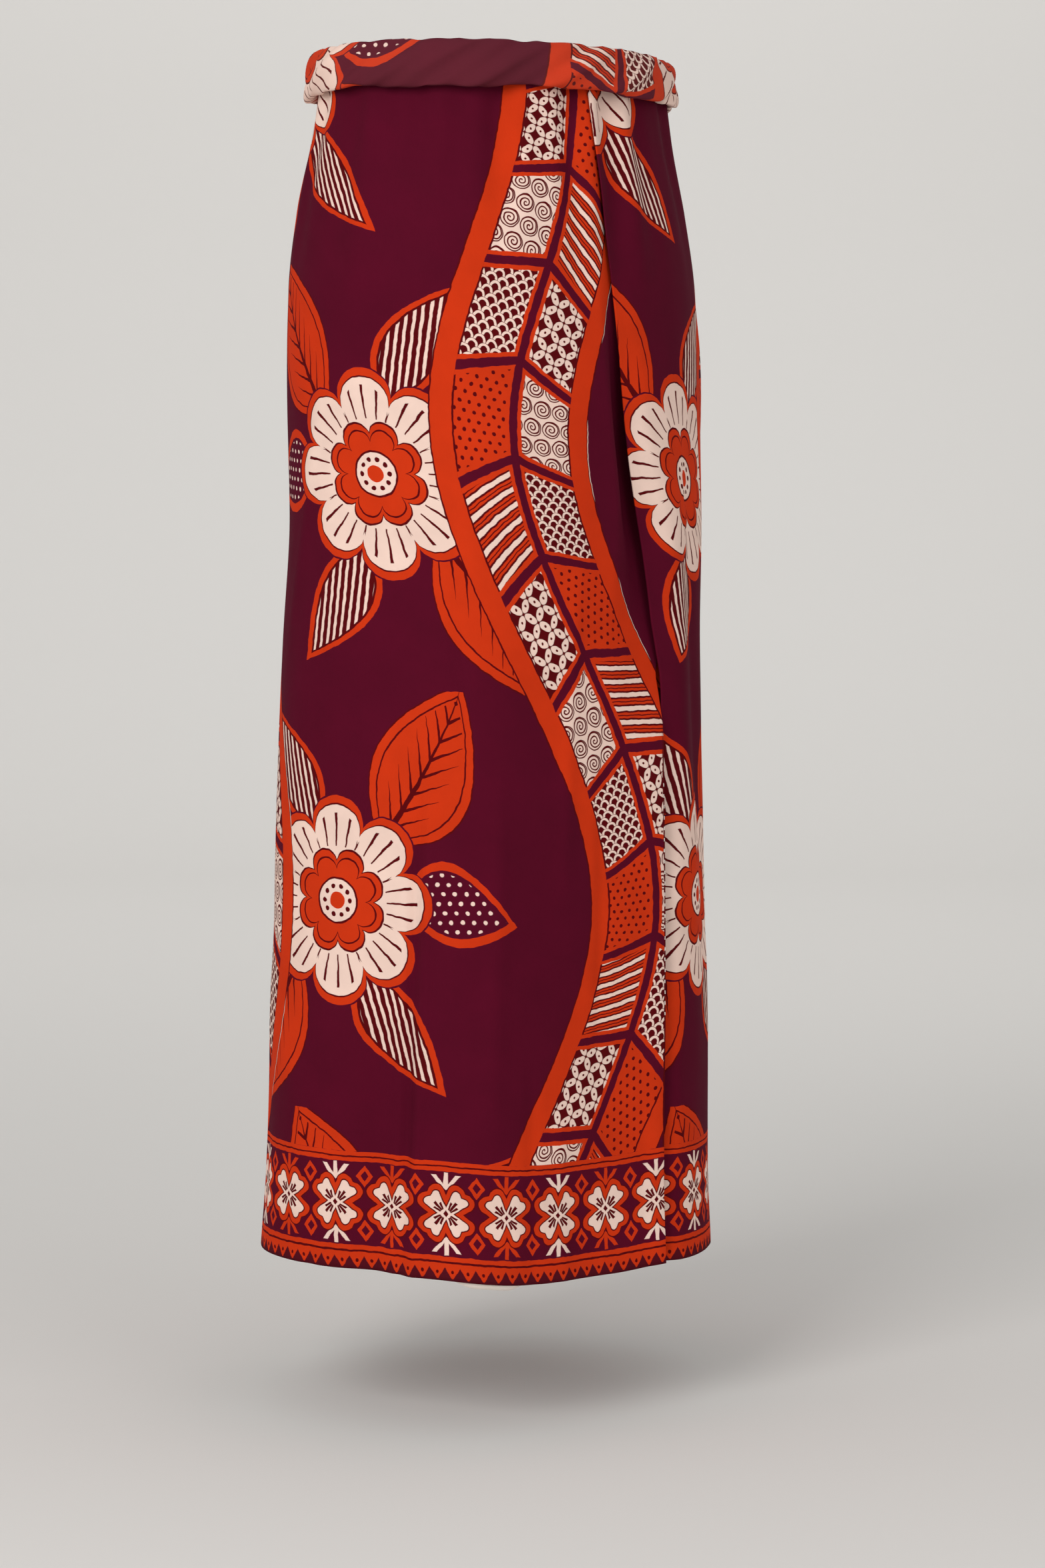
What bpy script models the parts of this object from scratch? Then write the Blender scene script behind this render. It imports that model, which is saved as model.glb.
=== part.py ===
"""A sarong as it is worn: a tube of thin cotton, folded over at the front in one long pleat.

Metres, +Z up. The wearer's front faces -Y and the wearer's right is -X. The origin is the
middle of the waist, where the wearer holds the garment. A place on the cloth is given by its
turn, in degrees round from the front towards the wearer's left, and by its height above the
hem. The tables are in millimetres and degrees.
"""

import math
from collections import namedtuple

import bmesh
import bpy

MM = 0.001

# Driving sizes
WORN_LENGTH = 920.0  # hem to waist edge, mm
CLOTH = 1.2  # wall of the cloth
SEAM_GAP = 0.3  # between two pieces that meet
WAIST_EDGE = 3.0  # the panels end this far under the top of the roll
ROLL_DEPTH = 34.0  # the waist is rolled down this far
ROLL_THICKNESS = 10.5
BACK_SEAM_TURN = 180.0
INNER_LAP = 190.0  # the inner layer reaches this far to the right of the pleat

# The tube's section, an oval with unlike front and back, and how far its middle has moved
Girth = namedtuple("Girth", "height half_width front back shift_x shift_y")
GIRTHS = [
    Girth(0, 192, 164, 167, -5, 6),
    Girth(60, 190, 160, 162, -4, 5),
    Girth(210, 187, 158, 158, -3, 4),
    Girth(465, 182, 150, 150, -1, 2),
    Girth(570, 181, 148, 141, 0, 0),
    Girth(650, 180, 147, 143, 0, 0),
    Girth(740, 178, 142, 145, 0, 0),
    Girth(800, 170, 133, 139, 0, 0),
    Girth(860, 158, 121, 124, 0, 0),
    Girth(920, 150, 113, 114, 0, 0),
]

# Where the cloth stands out from the oval, or lies in, at three heights
Bulge = namedtuple("Bulge", "turn width hem knee hip")
BULGES = [
    Bulge(-140, 17, -7, -3, 0),
    Bulge(-115, 17, 5, 2, 0),
    Bulge(-72, 17, -11, -5, -1),
    Bulge(-50, 17, 11, 5, 1),
    Bulge(-31, 17, -5, -2, 0),
    Bulge(-12, 17, -9, -5, -2),
    Bulge(12, 17, 10.5, 5.5, 1),
    Bulge(34, 17, 1.5, 0, 0),
]
KNEE_HEIGHT, HIP_HEIGHT = 420.0, 700.0

# Long soft folds: each runs from its top to its foot, and stands out (or in) at its middle
Fold = namedtuple("Fold", "top top_turn foot foot_turn width out")
FOLDS = [
    Fold(430, -60, -60, -67, 15, 4.5),
    Fold(360, -72, -60, -78, 13, -3.5),
    Fold(560, 62, -60, 70, 20, 6.0),
    Fold(500, 84, -60, 92, 18, -5.0),
    Fold(620, 118, -60, 124, 22, 6.5),
    Fold(560, 146, -60, 148, 20, -5.5),
    Fold(640, 166, -60, 172, 24, 7.0),
    Fold(600, -170, -60, -168, 18, -4.0),
    Fold(540, -150, -60, -152, 22, 5.5),
]

# How far the hem edge rises above its lowest place
HemRise = namedtuple("HemRise", "turn rise")
HEM_RISES = [
    HemRise(-180, 12),
    HemRise(-130, 13),
    HemRise(-90, 11),
    HemRise(-60, 8.5),
    HemRise(-30, 0.5),
    HemRise(-12, 0.5),
    HemRise(5, 3.5),
    HemRise(40, 3),
    HemRise(90, 5),
    HemRise(180, 12),
]

# The front pleat. Distances run round the cloth from the crease, to the wearer's left if
# positive. Above the crossing the left panel lies over the right one, and below it the right
# one lies over the left. dip is how deep a panel lies at the crease, reach how far from the
# crease it starts to dip, and end where its edge is.
Pleat = namedtuple(
    "Pleat",
    "height turn right_dip right_reach right_end left_dip left_reach left_end"
    " inner_dip inner_from inner_to inner_end",
)
PLEATS = [
    Pleat(-40, 1.6, -0.8, 30, 4, 2.8, 26, -9, 5.0, 44, 16, 16),
    Pleat(30, 1.7, -0.8, 30, 4, 2.8, 26, -9, 5.0, 44, 16, 16),
    Pleat(185, 2.4, -0.8, 34, 4, 3.0, 34, -11, 5.2, 44, 18, 16),
    Pleat(330, 3.1, -0.8, 34, 4, 3.4, 40, -11, 5.6, 44, 18, 18),
    Pleat(390, 3.5, -0.6, 36, 4, 3.4, 42, -6, 5.6, 44, 16, 18),
    Pleat(412, 3.8, 0.6, 44, 4, 3.2, 42, 4.9, 6.0, 50, 10, 20),
    Pleat(430, 3.8, 3.4, 50, 4, 2.4, 42, 5.0, 7.4, 56, 6, 22),
    Pleat(446, 3.5, 5.4, 54, 4, 2.2, 41, 4.8, 9.6, 60, 4, 24),
    Pleat(470, 2.9, 7.4, 56, 12, 2.4, 39, 2.0, 11.8, 62, 4, 28),
    Pleat(495, 2.0, 10.0, 50, 20, 3.0, 37, 0, 14.4, 58, 4, 34),
    Pleat(535, 0.0, 15.0, 36, 28, 4.4, 34, 0, 19.4, 46, 4, 42),
    Pleat(575, -2.4, 17.5, 22, 34, 6.0, 26, 0, 22.5, 34, 4, 46),
    Pleat(610, -4.6, 13.5, 16, 36, 6.0, 22, 0, 18.5, 30, 4, 48),
    Pleat(665, -7.6, 6.6, 16, 38, 3.6, 22, 0, 11.0, 30, 4, 48),
    Pleat(740, -10.0, 4.0, 18, 38, 1.4, 22, 0, 8.0, 30, 4, 48),
    Pleat(920, -14.0, 3.6, 18, 38, 1.2, 22, 0, 7.0, 30, 4, 48),
]

# Rows of the cloth's surface, as heights above the hem, closer where the pleat turns over
ROWS = [
    0, 4, 32, 66, 100, 140, 185, 230, 275, 315, 350, 380, 400, 416, 432, 448, 466, 486,
    510, 535, 560, 585, 612, 640, 670, 705, 745, 790, 835, 875, 905,
    WORN_LENGTH - WAIST_EDGE,
]

NEAR_PLEAT = [0, 2, 5, 9, 14, 20, 28, 38, 50, 66]  # columns by distance from the crease
HIDDEN_SHARES = [1.0, 0.62, 0.28]  # columns past the crease, as shares of the lap
RIGHT_FAR_COLUMNS = 29
LEFT_FAR_COLUMNS = 24
INNER_PLACES = [-1.0, -0.88, -0.76, -0.64, -0.53, -0.43, -0.34, -0.27, -0.21, -0.155, -0.105,
                -0.06, -0.02]
INNER_END_SHARES = [0.25, 0.62, 1.0]
INNER_BEHIND = 2.0  # the inner layer lies this far behind the outer one
INNER_HEM_DROP = 1.2  # and shows this far under its hem
ROLL_COLUMNS = 60
WALK_STEPS = 720  # steps round a section when distances are measured


def ease(share):
    """A smooth step from 0 to 1."""
    share = min(max(share, 0.0), 1.0)
    return share * share * (3.0 - 2.0 * share)


def read_table(rows, key, place):
    """The row of a table at a place between its rows, along a curve through them."""
    keys = [getattr(row, key) for row in rows]
    place = min(max(place, keys[0]), keys[-1])
    after = next(i for i in range(1, len(keys)) if place <= keys[i])
    before = after - 1
    width = keys[after] - keys[before]
    share = (place - keys[before]) / width
    values = []
    for column in range(len(rows[0])):
        start, end = rows[before][column], rows[after][column]
        rise = (end - start) / width
        slope_in = slope_out = rise
        if before > 0:
            last = (start - rows[before - 1][column]) / (keys[before] - keys[before - 1])
            slope_in = 0.0 if last * rise <= 0 else 2.0 * last * rise / (last + rise)
        if after < len(keys) - 1:
            following = (rows[after + 1][column] - end) / (keys[after + 1] - keys[after])
            slope_out = 0.0 if following * rise <= 0 else 2.0 * following * rise / (following + rise)
        square, cube = share * share, share * share * share
        values.append(
            (2 * cube - 3 * square + 1) * start
            + (cube - 2 * square + share) * width * slope_in
            + (3 * square - 2 * cube) * end
            + (cube - square) * width * slope_out
        )
    return type(rows[0])(*values)


def turned(angle):
    """An angle brought to between -180 and 180 degrees."""
    return (angle + 180.0) % 360.0 - 180.0


def swell(turn, height):
    """How far the cloth stands out from the oval."""
    out = 0.0
    for bulge in BULGES:
        if height < KNEE_HEIGHT:
            size = bulge.hem + (bulge.knee - bulge.hem) * ease(height / KNEE_HEIGHT)
        else:
            above = (height - KNEE_HEIGHT) / (HIP_HEIGHT - KNEE_HEIGHT)
            size = bulge.knee + (bulge.hip - bulge.knee) * ease(above)
            size *= 1.0 - ease((height - HIP_HEIGHT) / (WORN_LENGTH - HIP_HEIGHT))
        out += size * math.exp(-((turned(turn - bulge.turn) / bulge.width) ** 2))
    for fold in FOLDS:
        share = (height - fold.foot) / (fold.top - fold.foot)
        if share < 1.0:
            middle = fold.foot_turn + (fold.top_turn - fold.foot_turn) * share
            across = turned(turn - middle) / (fold.width / 2.0)
            out += fold.out * ease((1.0 - share) * 1.6) * math.exp(-(across**2))
    return out


class Section:
    """The outer face of the cloth round the body at one height, walked from the crease."""

    def __init__(self, height):
        self.height = height
        self.girth = read_table(GIRTHS, "height", height)
        self.pleat = read_table(PLEATS, "height", height)
        step = 360.0 / WALK_STEPS
        self.turns = [self.pleat.turn + step * i for i in range(-WALK_STEPS, WALK_STEPS + 1)]
        places = [self.place(turn) for turn in self.turns]
        self.walk = [0.0]
        for i in range(1, len(places)):
            self.walk.append(self.walk[-1] + math.dist(places[i - 1], places[i]))
        crease = self.walk[WALK_STEPS]
        self.walk = [length - crease for length in self.walk]
        self.to_right_seam = -self.distance_to(BACK_SEAM_TURN - 360.0)
        self.to_left_seam = self.distance_to(BACK_SEAM_TURN)

    def place(self, turn, inset=0.0):
        """The point at a turn, moved in by an inset."""
        angle = math.radians(turn)
        across, ahead = math.sin(angle), -math.cos(angle)
        depth = self.girth.front if ahead < 0 else self.girth.back
        normal = (across / self.girth.half_width, ahead / depth)
        size = math.hypot(*normal)
        out = (swell(turn, self.height) - inset) / size
        return (
            self.girth.half_width * across + self.girth.shift_x + normal[0] * out,
            depth * ahead + self.girth.shift_y + normal[1] * out,
        )

    def distance_to(self, turn):
        position = (turn - self.turns[0]) / (360.0 / WALK_STEPS)
        index = min(int(position), len(self.walk) - 2)
        share = position - index
        return self.walk[index] + (self.walk[index + 1] - self.walk[index]) * share

    def turn_at(self, distance):
        low, high = 0, len(self.walk) - 1
        while high - low > 1:
            middle = (low + high) // 2
            if self.walk[middle] <= distance:
                low = middle
            else:
                high = middle
        share = (distance - self.walk[low]) / (self.walk[high] - self.walk[low])
        return self.turns[low] + (self.turns[high] - self.turns[low]) * share

    def point(self, distance, inset, drop=0.0):
        """The point at a distance round from the crease, in metres from the waist."""
        turn = self.turn_at(distance)
        x, y = self.place(turn, inset)
        fade = 1.0 - self.height / WORN_LENGTH
        rise = read_table(HEM_RISES, "turn", turned(turn)).rise * fade
        z = self.height + rise - drop - WORN_LENGTH
        return (x * MM, y * MM, z * MM)


def right_inset(pleat, distance):
    return pleat.right_dip * ease((distance + pleat.right_reach) / pleat.right_reach)


def left_inset(pleat, distance):
    return pleat.left_dip * (1.0 - ease(distance / pleat.left_reach))


def inner_inset(pleat, distance):
    span = pleat.inner_from - pleat.inner_to
    deeper = pleat.inner_dip - INNER_BEHIND
    return INNER_BEHIND + deeper * ease((distance + pleat.inner_from) / span)


def right_columns(section):
    """Distances from the hidden edge, back over the crease and round to the back seam."""
    hidden = [section.pleat.right_end * share for share in HIDDEN_SHARES]
    near = [-distance for distance in NEAR_PLEAT]
    far_end = section.to_right_seam - SEAM_GAP / 2
    step = (far_end - NEAR_PLEAT[-1]) / RIGHT_FAR_COLUMNS
    far = [-(NEAR_PLEAT[-1] + step * (i + 1)) for i in range(RIGHT_FAR_COLUMNS)]
    return hidden + near + far


def left_columns(section):
    """Distances from the panel's edge at the pleat, round to the back seam."""
    near = [section.pleat.left_end + distance for distance in NEAR_PLEAT]
    far_end = section.to_left_seam - SEAM_GAP / 2
    step = (far_end - near[-1]) / LEFT_FAR_COLUMNS
    return near + [near[-1] + step * (i + 1) for i in range(LEFT_FAR_COLUMNS)]


def inner_columns(section):
    places = [INNER_LAP * share for share in INNER_PLACES]
    return places + [section.pleat.inner_end * share for share in INNER_END_SHARES]


def make_material(name, colour, roughness):
    material = bpy.data.materials.new(name)
    material.use_nodes = True
    shader = material.node_tree.nodes["Principled BSDF"]
    shader.inputs["Base Color"].default_value = (*colour, 1.0)
    shader.inputs["Roughness"].default_value = roughness
    shader.inputs["Metallic"].default_value = 0.0
    return material


def add_object(name, points, faces, material, collection):
    """A smooth mesh object with its faces pointing out."""
    shape = bmesh.new()
    corners = [shape.verts.new(point) for point in points]
    for face in faces:
        shape.faces.new([corners[i] for i in face])
    bmesh.ops.recalc_face_normals(shape, faces=shape.faces)
    mesh = bpy.data.meshes.new(name)
    shape.to_mesh(mesh)
    shape.free()
    mesh.shade_smooth()
    mesh.materials.append(material)
    piece = bpy.data.objects.new(name, mesh)
    collection.objects.link(piece)
    return piece


def make_cloth(name, sections, columns_of, inset_of, material, collection, drop=0.0):
    """One piece of cloth: a loft through its rows, then given the thickness of the wall."""
    rows = []
    for section in sections:
        distances = columns_of(section)
        hem_drop = drop * (1.0 - ease(section.height / 200.0))
        rows.append([
            section.point(distance, inset_of(section.pleat, distance), hem_drop)
            for distance in distances
        ])
    wide = len(rows[0])
    points = [point for row in rows for point in row]
    faces = []
    for row in range(len(rows) - 1):
        for column in range(wide - 1):
            corner = row * wide + column
            faces.append((corner, corner + 1, corner + wide + 1, corner + wide))
    piece = add_object(name, points, faces, material, collection)
    middle = rows[len(rows) // 2][wide // 2]
    facing = piece.data.polygons[(len(rows) // 2) * (wide - 1) + wide // 2].normal
    if facing.x * middle[0] + facing.y * middle[1] < 0:
        piece.data.flip_normals()
    wall = piece.modifiers.new("wall", "SOLIDIFY")
    wall.thickness = CLOTH * MM
    wall.offset = -1.0
    wall.use_rim = True
    return piece


def roll_profile():
    """The waist roll's section, as distance out from the panels and height under its top."""
    thick, deep = ROLL_THICKNESS, ROLL_DEPTH
    return [
        (-3.0, -0.6), (-3.0, -WAIST_EDGE + SEAM_GAP), (SEAM_GAP, -WAIST_EDGE + SEAM_GAP),
        (SEAM_GAP, -deep * 0.5), (SEAM_GAP, -deep * 0.9), (thick * 0.30, -deep),
        (thick * 0.72, -deep * 0.97), (thick * 0.98, -deep * 0.78), (thick, -deep * 0.5),
        (thick * 0.9, -deep * 0.22), (thick * 0.6, -deep * 0.05), (thick * 0.2, 0.0),
    ]


def make_waist_roll(material, collection):
    """The top of the tube rolled over outwards, which holds the garment at the waist."""
    profile = roll_profile()
    sections = {down: Section(WORN_LENGTH + down) for _, down in profile}
    points, faces = [], []
    around, wide = len(profile), ROLL_COLUMNS
    for column in range(wide):
        turn = 360.0 * column / wide
        for out, down in profile:
            x, y = sections[down].place(turn, -out)
            points.append((x * MM, y * MM, down * MM))
    for column in range(wide):
        for i in range(around):
            here, beside = column * around, (column + 1) % wide * around
            after = (i + 1) % around
            faces.append((here + i, beside + i, beside + after, here + after))
    return add_object("waist_roll", points, faces, material, collection)


def build():
    for thing in list(bpy.data.objects):
        bpy.data.objects.remove(thing, do_unlink=True)
    collection = bpy.data.collections.new("sarong")
    bpy.context.scene.collection.children.link(collection)
    right_cotton = make_material("right_cotton", (0.23, 0.02, 0.03), 0.85)
    left_cotton = make_material("left_cotton", (0.26, 0.02, 0.03), 0.85)
    inner_cotton = make_material("inner_cotton", (0.10, 0.01, 0.02), 0.88)
    roll_cotton = make_material("roll_cotton", (0.35, 0.05, 0.03), 0.85)
    sections = [Section(height) for height in ROWS]
    make_cloth("right_panel", sections, right_columns, right_inset, right_cotton, collection)
    make_cloth("left_panel", sections, left_columns, left_inset, left_cotton, collection)
    make_cloth(
        "inner_layer", sections, inner_columns, inner_inset, inner_cotton, collection,
        drop=INNER_HEM_DROP,
    )
    make_waist_roll(roll_cotton, collection)


build()
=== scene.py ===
"""The sarong's looks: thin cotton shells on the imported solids, with a wax-resist print.

Shapes are worked out in millimetres. A place on the cloth is given by its turn, in degrees round
from the front towards the wearer's left, and by its height above the hem, as in the solids. Each
point also carries its place on the flat cloth, which the print reads.
"""

import math
from collections import namedtuple

import bpy
import numpy as np
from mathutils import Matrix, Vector, noise


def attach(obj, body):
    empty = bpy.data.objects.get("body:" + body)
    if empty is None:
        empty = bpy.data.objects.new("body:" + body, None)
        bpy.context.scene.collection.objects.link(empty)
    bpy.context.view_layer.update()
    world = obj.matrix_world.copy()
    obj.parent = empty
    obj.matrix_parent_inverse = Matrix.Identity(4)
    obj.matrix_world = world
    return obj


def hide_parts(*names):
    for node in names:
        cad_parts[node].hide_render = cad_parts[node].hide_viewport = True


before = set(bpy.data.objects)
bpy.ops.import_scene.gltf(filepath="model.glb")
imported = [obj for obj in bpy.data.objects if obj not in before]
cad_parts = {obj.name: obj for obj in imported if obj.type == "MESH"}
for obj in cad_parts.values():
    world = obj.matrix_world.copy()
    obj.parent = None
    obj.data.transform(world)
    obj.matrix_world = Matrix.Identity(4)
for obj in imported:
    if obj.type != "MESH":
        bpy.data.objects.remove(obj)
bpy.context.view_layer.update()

MM = 0.001
BODY = "root"

# Driving sizes, as in the solids
WORN_LENGTH = 920.0
WAIST_EDGE = 3.0
ROLL_DEPTH = 34.0
ROLL_THICKNESS = 10.5
BACK_SEAM_TURN = 180.0
SEAM_GAP = 0.3
INNER_LAP = 190.0
CLOTH = 0.45  # the real cloth's wall
BORDER = 89.0  # the printed border is this tall

Girth = namedtuple("Girth", "height half_width front back shift_x shift_y")
GIRTHS = [
    Girth(0, 192, 164, 167, -5, 6),
    Girth(60, 190, 160, 162, -4, 5),
    Girth(210, 187, 158, 158, -3, 4),
    Girth(465, 182, 150, 150, -1, 2),
    Girth(570, 181, 148, 141, 0, 0),
    Girth(650, 180, 147, 143, 0, 0),
    Girth(740, 178, 142, 145, 0, 0),
    Girth(800, 170, 133, 139, 0, 0),
    Girth(860, 158, 121, 124, 0, 0),
    Girth(920, 150, 113, 114, 0, 0),
]

Bulge = namedtuple("Bulge", "turn width hem knee hip")
BULGES = [
    Bulge(-140, 17, -7, -3, 0),
    Bulge(-115, 17, 5, 2, 0),
    Bulge(-72, 17, -11, -5, -1),
    Bulge(-50, 17, 11, 5, 1),
    Bulge(-31, 17, -5, -2, 0),
    Bulge(-12, 17, -9, -5, -2),
    Bulge(12, 17, 10.5, 5.5, 1),
    Bulge(34, 17, 1.5, 0, 0),
]
KNEE_HEIGHT, HIP_HEIGHT = 420.0, 700.0

# Long soft folds, as in the solids
Fold = namedtuple("Fold", "top top_turn foot foot_turn width out")
FOLDS = [
    Fold(430, -60, -60, -67, 15, 4.5),
    Fold(360, -72, -60, -78, 13, -3.5),
    Fold(560, 62, -60, 70, 20, 6.0),
    Fold(500, 84, -60, 92, 18, -5.0),
    Fold(620, 118, -60, 124, 22, 6.5),
    Fold(560, 146, -60, 148, 20, -5.5),
    Fold(640, 166, -60, 172, 24, 7.0),
    Fold(600, -170, -60, -168, 18, -4.0),
    Fold(540, -150, -60, -152, 22, 5.5),
]

# Creases: each fades in and out between its two ends
Crease = namedtuple("Crease", "top top_turn foot foot_turn width out")
CREASES = [
    Crease(705, -39, 500, -40, 1.8, 1.1),
    Crease(640, 14, 500, 17, 1.8, 1.0),
    Crease(700, 3, 200, 20, 15.0, 3.2),
    Crease(700, 15, 200, 33, 15.0, -3.4),
    Crease(420, -64.6, -80, -69.6, 5.0, -4.6),
    Crease(420, -61.6, -80, -66.2, 4.6, 3.2),
    Crease(420, -44, 60, -46, 7.0, 2.0),
    Crease(640, -58, 330, -52, 7.0, -1.8),
    Crease(560, -22, 260, -27, 7.0, 1.9),
    Crease(430, -14, 120, -16, 6.0, -1.7),
    Crease(200, -36, -40, -35, 6.0, -1.8),
    Crease(160, -28, -40, -26, 7.0, 1.6),
    Crease(90, -95, -40, -97, 6.0, -1.2),
    Crease(720, -96, 430, -118, 9.0, 1.4),
    Crease(700, -70, 520, -100, 8.0, -1.1),
    Crease(760, 30, 560, 58, 9.0, 1.5),
    Crease(700, 44, 470, 66, 8.0, -1.4),
    Crease(420, 28, 40, 34, 8.0, 1.3),
    Crease(300, 46, -40, 50, 6.0, -1.5),
    Crease(780, 100, 520, 84, 8.0, 1.6),
    Crease(420, 104, -40, 108, 6.0, 1.4),
    Crease(560, 132, 120, 136, 7.0, -1.6),
    Crease(700, 150, 380, 140, 8.0, 1.5),
    Crease(360, 158, -40, 160, 6.0, -1.5),
    Crease(620, 186, 240, 182, 7.0, 1.4),
    Crease(420, -160, -40, -160, 6.0, 1.5),
    Crease(660, -140, 300, -132, 8.0, -1.3),
    Crease(260, -124, -40, -126, 6.0, 1.5),
]

HemRise = namedtuple("HemRise", "turn rise")
HEM_RISES = [
    HemRise(-180, 12),
    HemRise(-130, 13),
    HemRise(-90, 11),
    HemRise(-60, 8.5),
    HemRise(-30, 0.5),
    HemRise(-12, 0.5),
    HemRise(5, 3.5),
    HemRise(40, 3),
    HemRise(90, 5),
    HemRise(180, 12),
]

# The pleat and the crease under it, a little deeper than in the solids
Pleat = namedtuple(
    "Pleat",
    "height turn right_dip right_reach right_end left_dip left_reach left_end"
    " inner_dip inner_from inner_to inner_end",
)
PLEATS = [
    Pleat(-40, 1.6, -2.4, 16, 4, 8.4, 24, -9, 10.6, 44, 10, 16),
    Pleat(30, 1.7, -2.4, 16, 4, 8.8, 24, -9, 11.0, 44, 10, 16),
    Pleat(185, 2.4, -2.0, 18, 4, 10.6, 26, -11, 12.8, 44, 12, 16),
    Pleat(330, 3.1, -1.6, 22, 4, 11.2, 29, -11, 13.4, 44, 12, 18),
    Pleat(390, 3.5, -0.8, 30, 4, 7.4, 33, -6, 9.6, 44, 12, 18),
    Pleat(412, 3.8, 0.6, 44, 4, 3.2, 42, 4.9, 6.0, 50, 10, 20),
    Pleat(430, 3.8, 3.4, 50, 4, 2.4, 42, 5.0, 7.4, 56, 6, 22),
    Pleat(446, 3.5, 5.4, 54, 4, 2.2, 41, 4.8, 9.6, 60, 4, 24),
    Pleat(470, 2.9, 7.4, 56, 12, 2.4, 39, 2.0, 11.8, 62, 4, 28),
    Pleat(495, 2.0, 10.0, 50, 20, 3.0, 37, 0, 14.4, 58, 4, 34),
    Pleat(535, 0.0, 14.0, 36, 28, 4.4, 34, 0, 18.4, 46, 4, 42),
    Pleat(575, -2.4, 18.0, 26, 34, 5.6, 26, 0, 23.0, 36, 4, 46),
    Pleat(610, -4.6, 19.0, 22, 36, 5.6, 22, 0, 24.0, 32, 4, 48),
    Pleat(665, -7.6, 13.0, 20, 38, 4.0, 22, 0, 17.6, 30, 4, 48),
    Pleat(740, -10.0, 5.6, 18, 38, 1.4, 22, 0, 9.8, 30, 4, 48),
    Pleat(920, -14.0, 3.6, 18, 38, 1.2, 22, 0, 7.0, 30, 4, 48),
]

FOLD_RADIUS = 0.8  # of the turned edge at the pleat
FOLDED_AWAY = 43.4  # how much cloth the fold hides
SEAM_WIDTH, SEAM_RISE = 9.0, 0.7  # the felled seam down the back
SEAM_MM_PER_DEGREE = 2.9
STITCH_PITCH, STITCH_LENGTH, STITCH_THICK = 3.2, 2.4, 0.45
WALK_STEPS = 1440
INNER_BEHIND = 2.0  # how far the inner layer lies behind the panels
INNER_PLACE = 240.0  # where the crease falls on the inner layer's own flat cloth
INNER_NEAR = 50.0  # the inner layer's columns lie closer within this reach of the crease
NEAR = 70.0  # and the panels' columns within this
PANEL_ROWS, INNER_ROWS = 262, 200
ROLL_COLUMNS = 420
GATHER_FOOT, GATHER_SPAN = 700.0, 170.0  # heights over which the gathers deepen
GATHER_DEPTH = 2.0
SLOW_WAVE, QUICK_WAVE = 1.5, 0.7  # the cloth's unevenness
WAVE_MIDDLE = 0.6  # taken off again, so that the waves lie about the solids' face
PEEP_START, PEEP_END = -190.0, -124.0  # where the inner layer peeps out under the hem
PEEP_DROP, INNER_LIFT = 5.2, 1.2


def ease(share):
    share = np.clip(share, 0.0, 1.0)
    return share * share * (3.0 - 2.0 * share)


def read_table(rows, key, place):
    """The columns of a table at each place, along curves through its rows."""
    place = np.atleast_1d(np.asarray(place, float))
    keys = np.array([getattr(row, key) for row in rows], float)
    values = np.array(rows, float)
    place = np.clip(place, keys[0], keys[-1])
    after = np.clip(np.searchsorted(keys, place), 1, len(keys) - 1)
    before = after - 1
    widths = np.diff(keys)
    rises = np.diff(values, axis=0) / widths[:, None]
    last, following = rises[:-1], rises[1:]
    alike = last * following > 0
    total = np.where(alike, last + following, 1.0)
    middle = np.where(alike, 2.0 * last * following / total, 0.0)
    slopes = np.vstack([rises[:1], middle, rises[-1:]])
    width = widths[before][:, None]
    share = (place[:, None] - keys[before][:, None]) / width
    square, cube = share**2, share**3
    found = (
        (2 * cube - 3 * square + 1) * values[before]
        + (cube - 2 * square + share) * width * slopes[before]
        + (3 * square - 2 * cube) * values[after]
        + (cube - square) * width * slopes[after]
    )
    return type(rows[0])(*found.T)


def row_of(rows, key, place):
    """One row, as plain numbers."""
    found = read_table(rows, key, place)
    return type(rows[0])(*[float(column[0]) for column in found])


def turned(angle):
    return (angle + 180.0) % 360.0 - 180.0


def line_of_fold(fold, turn, height):
    """How far along a fold a height lies, and how far across it each turn is."""
    share = (height - fold.foot) / (fold.top - fold.foot)
    middle = fold.foot_turn + (fold.top_turn - fold.foot_turn) * share
    return share, turned(turn - middle)


def swell(turn, height):
    """How far the cloth stands out from the oval at each turn."""
    out = np.zeros_like(turn)
    for bulge in BULGES:
        if height < KNEE_HEIGHT:
            size = bulge.hem + (bulge.knee - bulge.hem) * ease(height / KNEE_HEIGHT)
        else:
            above = (height - KNEE_HEIGHT) / (HIP_HEIGHT - KNEE_HEIGHT)
            size = bulge.knee + (bulge.hip - bulge.knee) * ease(above)
            size *= 1.0 - ease((height - HIP_HEIGHT) / (WORN_LENGTH - HIP_HEIGHT))
        out += size * np.exp(-((turned(turn - bulge.turn) / bulge.width) ** 2))
    for fold in FOLDS:
        share, across = line_of_fold(fold, turn, height)
        if share < 1.0:
            across = across / (fold.width / 2.0)
            out += fold.out * ease((1.0 - share) * 1.6) * np.exp(-(across**2))
    return out


def creases(turn, height):
    """How far the smaller creases stand out at each turn."""
    out = np.zeros_like(turn)
    for crease in CREASES:
        share, across = line_of_fold(crease, turn, height)
        if 0.0 < share < 1.0:
            size = crease.out * ease(share * 3.0) * ease((1.0 - share) * 3.0)
            out += size * np.exp(-((across * 3.0 / crease.width) ** 2))
    return out


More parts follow.
